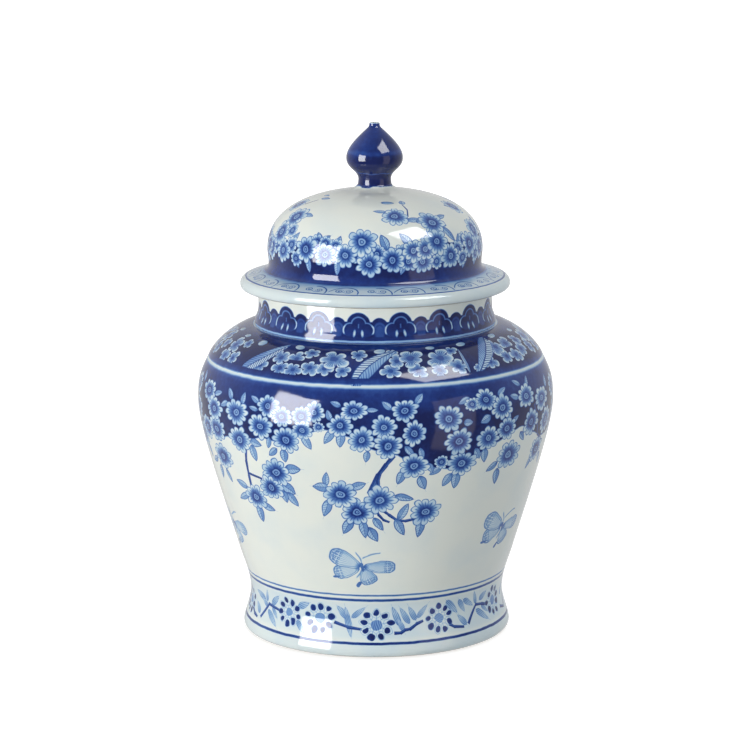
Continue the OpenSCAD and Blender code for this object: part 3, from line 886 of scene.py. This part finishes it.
lid_blossoms = [
    (-50.5, 224.5, 5.2), (-45.6, 217.6, 4.6), (-33.2, 227.4, 5), (-27.6, 227.2, 4.4), (-21.4, 226, 4.6),
    (-10.6, 222, 5), (-5, 223.2, 5.8), (1.2, 222.6, 5), (13.8, 222.8, 5), (17.6, 218, 5.6), (31.4, 221, 5),
    (33.6, 216.8, 4.4), (49.2, 222, 5), (52.6, 217, 4.8), (55.4, 226, 4.6), (-64.4, 223.6, 5.6),
    (-54, 231.6, 4.4), (66.6, 217.6, 5), (68, 226, 5), (-57, 220.6, 6.9), (-39.2, 223.4, 7.6),
    (-27, 221, 6.9), (-15.6, 221.6, 7), (-3, 217, 7.4), (-6.8, 228.8, 8.2), (9, 219, 7.4),
    (25.6, 217.4, 6.6), (20.4, 223.6, 6.6), (27.4, 224, 6.2), (35.4, 227.4, 7.8), (43.2, 218.8, 7.2),
    (60.8, 223.4, 7.6), (13.8, 240.8, 7.6), (37.2, 236.8, 8.4), (-60, 238.2, 8), (-64, 229.8, 7.6),
    (-71, 220.6, 6.8), (74, 220, 7), (72, 230, 7.2), (85, 222, 7.2), (97, 225, 7.2), (99, 216.8, 6.6),
    (75.8, 241.7, 6.8), (-80.5, 242.6, 6.8), (91, 217.4, 5.6), (104, 222, 6)]
lid_leaves = [
    (-46, 217, 5, 2.4, -65), (-37, 214.8, 4.2, 2.2, -85), (-49, 228, 4.6, 2.2, 60),
    (-28, 229.4, 3.6, 2.2, 40), (-32, 230, 3.6, 2.2, 120), (-55, 233, 4.2, 2.2, -30),
    (-49.7, 239.8, 4, 1.9, -7), (-60.1, 246.8, 3.3, 2, 9), (-71, 247.6, 2.8, 1.6, 0),
    (5, 228.6, 4.6, 3, 110), (17, 229.6, 4.8, 2.8, 130), (34, 217, 4, 2.4, -120), (54, 215, 4.2, 2.6, -100),
    (45.5, 230.6, 5.4, 2.4, -60), (26, 238.8, 4.4, 2.2, 0), (30, 238, 3.4, 2, 10),
    (3.8, 243, 3.7, 1.7, 170), (12.3, 246.4, 3.8, 2, -8), (26.4, 246.2, 2.6, 2.1, 75),
    (47.5, 239, 3.8, 1.9, 12), (14.5, 214.4, 4, 2.2, -110), (51, 226, 4.6, 2.2, 70),
    (73, 241.6, 6.4, 2.2, 150), (80, 232, 5, 2.2, 90), (66, 215, 4.4, 2.2, -90), (91, 215, 4.2, 2.2, -70),
    (90, 231, 4.4, 2.4, 60), (-20, 214.4, 4, 2.2, -95), (-20, 228, 4, 2.4, 80), (106, 220, 4.2, 2.2, -20)]
lid_twigs = strokes(
    (0.5, [(22.7, 240.8, 46.6), (25.3, 243.3, 40.9), (24.8, 245.4, 36.3)]),
    (0.6, [(20, 240, 48), (31, 238, 50)]),
    (0.5, [(-70.4, 243.6, 40.3), (-65.7, 246, 34)]),
    (0.6, [(-62, 234, 54), (-54, 239, 49)]))
lid_edge = [
    (-90, 222), (-83, 225), (-71, 224), (-64, 231), (-57, 226), (-50, 228), (-45, 226), (-39, 229),
    (-33, 227), (-27, 226), (-20, 223), (-15, 225), (-10, 225), (-3, 222), (3, 222), (9, 224), (15, 222),
    (20, 226), (28, 224), (36, 230), (44, 226), (50, 226), (54, 223), (60, 228), (66, 226), (72, 230),
    (80, 226), (90, 222)]
edge_height(lid_shell, "ground", lid_edge)

lid_blossom_group = motif("lid_blossom", draw_blossom(9, 0.275, 0.13))
paint = Painting("lid_painting", lid_shell, dome_outer)
z = paint.height + paint.wobble * 0.5
on_dome = paint.radius.rise(62.2, 61.6) * paint.height.rise(DOME_Z - 0.5, DOME_Z + 0.2)
below = paint.number("ground") + paint.wobble * 1.5
paint.lay(z.rise(206, 212, 0.84, 0.96), below.rise(0.3, -0.4) * on_dome)
paint.motifs(twig_group, "twig", lid_twigs, 1.6, 2)
paint.motifs(leaf_group, "leaf", lid_leaves, 0.8, 3)
paint.motifs(lid_blossom_group, "blossom", lid_blossoms, 0.6, 6)
r = paint.radius + paint.wobble * 0.5
flange_top = paint.height.rise(FLANGE_Z + 4, FLANGE_Z + 5) * r.rise(61.3, 61.9)
paint.lay(r.rise(62, 68, 0.3, 0.09) + r.rise(61.6, 63.2, 0.3, 0), flange_top * r.rise(73, 72.2))
paint.lay(0.06, r.rise(72.8, 73.8) * paint.height.rise(FLANGE_Z + 8, FLANGE_Z + 7.4))
SCROLLS, SCROLL_R = 12, 67
turn = (paint.angle + paint.wobble * 0.8) / (360 / SCROLLS) + 0.72
half_pitch = math.pi * SCROLL_R / SCROLLS
pair = (turn.calc("FRACT") - 0.5) * (2 * half_pitch)
y = r * -1 + 67.2


def spiral(centre, height, reach, hand, start):
    """A thin line winding inwards. hand says which way round, and start where it begins."""
    along = (pair - centre) / 1.3
    above = y - height
    away = length(along, above)
    turns = away / 1.05 - above.calc("ARCTAN2", along) * (hand / math.tau) + start
    return turns.calc("FRACT").line(0.5, 0.11, 0.22) * away.rise(reach, reach - 0.3)


tails = (y + 2.2 + (pair * 0.72).calc("SINE") * 0.8).line(0, 0.12, 0.3)
scroll = tails * pair.size().line(half_pitch / 2, 3.6, 1) * 0.7
for centre, start in ((-half_pitch / 2, -9), (half_pitch / 2, -1)):
    away = pair - centre
    arch = length(away / 8.4 - y * 0.03, (y + 4) / 7.4).line(1, 0.022, 0.045)
    scroll = scroll.top(arch * away.rise(start, start + 1.2) * y.rise(-4.6, -3.6))
for curl in ((half_pitch / 2 - 2.9, -0.2, 2.1, 1, 0.5), (half_pitch / 2 + 2.9, -0.6, 1.9, -1, 0.2),
             (-half_pitch / 2 - 2.6, -0.9, 2.1, -1, 0.5), (-half_pitch / 2 + 2.6, -0.9, 2.1, 1, 0)):
    scroll = scroll.top(spiral(*curl))
paint.lay(0.68, scroll * flange_top * r.line(SCROLL_R, 4.8, 0.5) * 0.85)
paint.lay(0.7, flange_top * r.line(72.3, 0.28, 0.4))
crown = (paint.height + paint.wobble * 3.4).rise(CROWN_Z - 1.3, CROWN_Z - 0.6)
paint.lay(0.88, crown * paint.radius.rise(11, 10.4))
under_rim = paint.height.rise(FLANGE_Z + 0.9, FLANGE_Z + 0.2)
dress(lid_shell, "lid", "lid_shell", paint.glaze(under_rim * 0.8))

# ---- Locating ring ----
# Bare ring under the flange that drops inside the neck and keeps the lid from sliding. It is
# thrown with the lid and left without glaze, as it rubs in the mouth.

RING_LOW = FLANGE_Z - RING_DEPTH
locating_ring = turned("lid_locating_ring_clay", joined(
    [[ring_inner_r, FLANGE_Z]], stepped([[ring_inner_r, FLANGE_Z - 1], [ring_inner_r, RING_LOW + 1.2]], 3),
    [[ring_inner_r + 0.4, RING_LOW + 0.4], [ring_inner_r + 1.2, RING_LOW]],
    [[ring_outer_r - 1.3, RING_LOW], [ring_outer_r - 0.4, RING_LOW + 0.5], [ring_outer_r, RING_LOW + 1.6]],
    stepped([[ring_outer_r, RING_LOW + 3], [ring_outer_r, FLANGE_Z]], 3)), 240)
dress(locating_ring, "lid", "lid_locating_ring", bare_clay)

# ---- Knob ----
# Hollow bud-shaped knob, thrown apart and luted on the crown. It is washed all over in
# strong cobalt, and a vent hole through its tip let the air out in the kiln.

KNOB_R, TOP_Z, VENT_R = 15.8, 287.1, 1.2
KNOB_Z = CROWN_Z + 14.6
HOLLOW_R, THROAT_R = KNOB_R - 3, 6.4
knob_outer = joined(
    [[KNOB_FOOT_R, CROWN_Z]],
    curve([9.1, CROWN_Z + 2.5], [9.1, CROWN_Z + 7.8], [KNOB_R, KNOB_Z - 6.4], [KNOB_R, KNOB_Z], 0.9),
    curve([KNOB_R, KNOB_Z], [KNOB_R, KNOB_Z + 5.4], [10, TOP_Z - 8.5], [3.7, TOP_Z - 2.8], 0.9),
    curve([3.7, TOP_Z - 2.8], [3.1, TOP_Z - 2.2], [2.9, TOP_Z - 1.6], [2.9, TOP_Z - 0.7], 0.4),
    curve([2.9, TOP_Z - 0.7], [2.9, TOP_Z - 0.2], [2.7, TOP_Z], [2.3, TOP_Z], 0.3))
lid_knob = turned("lid_knob_glazed", joined(
    knob_outer, [[VENT_R + 0.4, TOP_Z], [VENT_R, TOP_Z - 0.6]],
    [[VENT_R, TOP_Z - 4], [VENT_R, TOP_Z - 7]],
    curve([VENT_R, TOP_Z - 7], [VENT_R + 4, TOP_Z - 9], [HOLLOW_R, KNOB_Z + 4], [HOLLOW_R, KNOB_Z], 3),
    curve([HOLLOW_R, KNOB_Z], [HOLLOW_R, KNOB_Z - 5], [THROAT_R, CROWN_Z + 8], [THROAT_R, CROWN_Z + 3], 3),
    [[THROAT_R, CROWN_Z]]), 96)
paint = Painting("knob_painting", lid_knob, knob_outer)
z = paint.height + paint.wobble * 2.4
paint.lay(z.rise(KNOB_Z - 1.5, KNOB_Z + 4, 1, 0.86), z.rise(CROWN_Z - 6, CROWN_Z - 5))
# Painted reflection: a paler, wavy band of lighter blue round the bulb just above its widest part.
paint.lay(0.7, z.line(KNOB_Z + 3.6, 0.3, 1.6) * 0.6)
paint.lay(0.62, z.line(CROWN_Z + 6.6, 0.1, 0.5) * 0.7)
paint.lay(0.08, paint.height.rise(TOP_Z - 0.55, TOP_Z - 0.2))
dress(lid_knob, "lid", "lid_knob", paint.glaze())
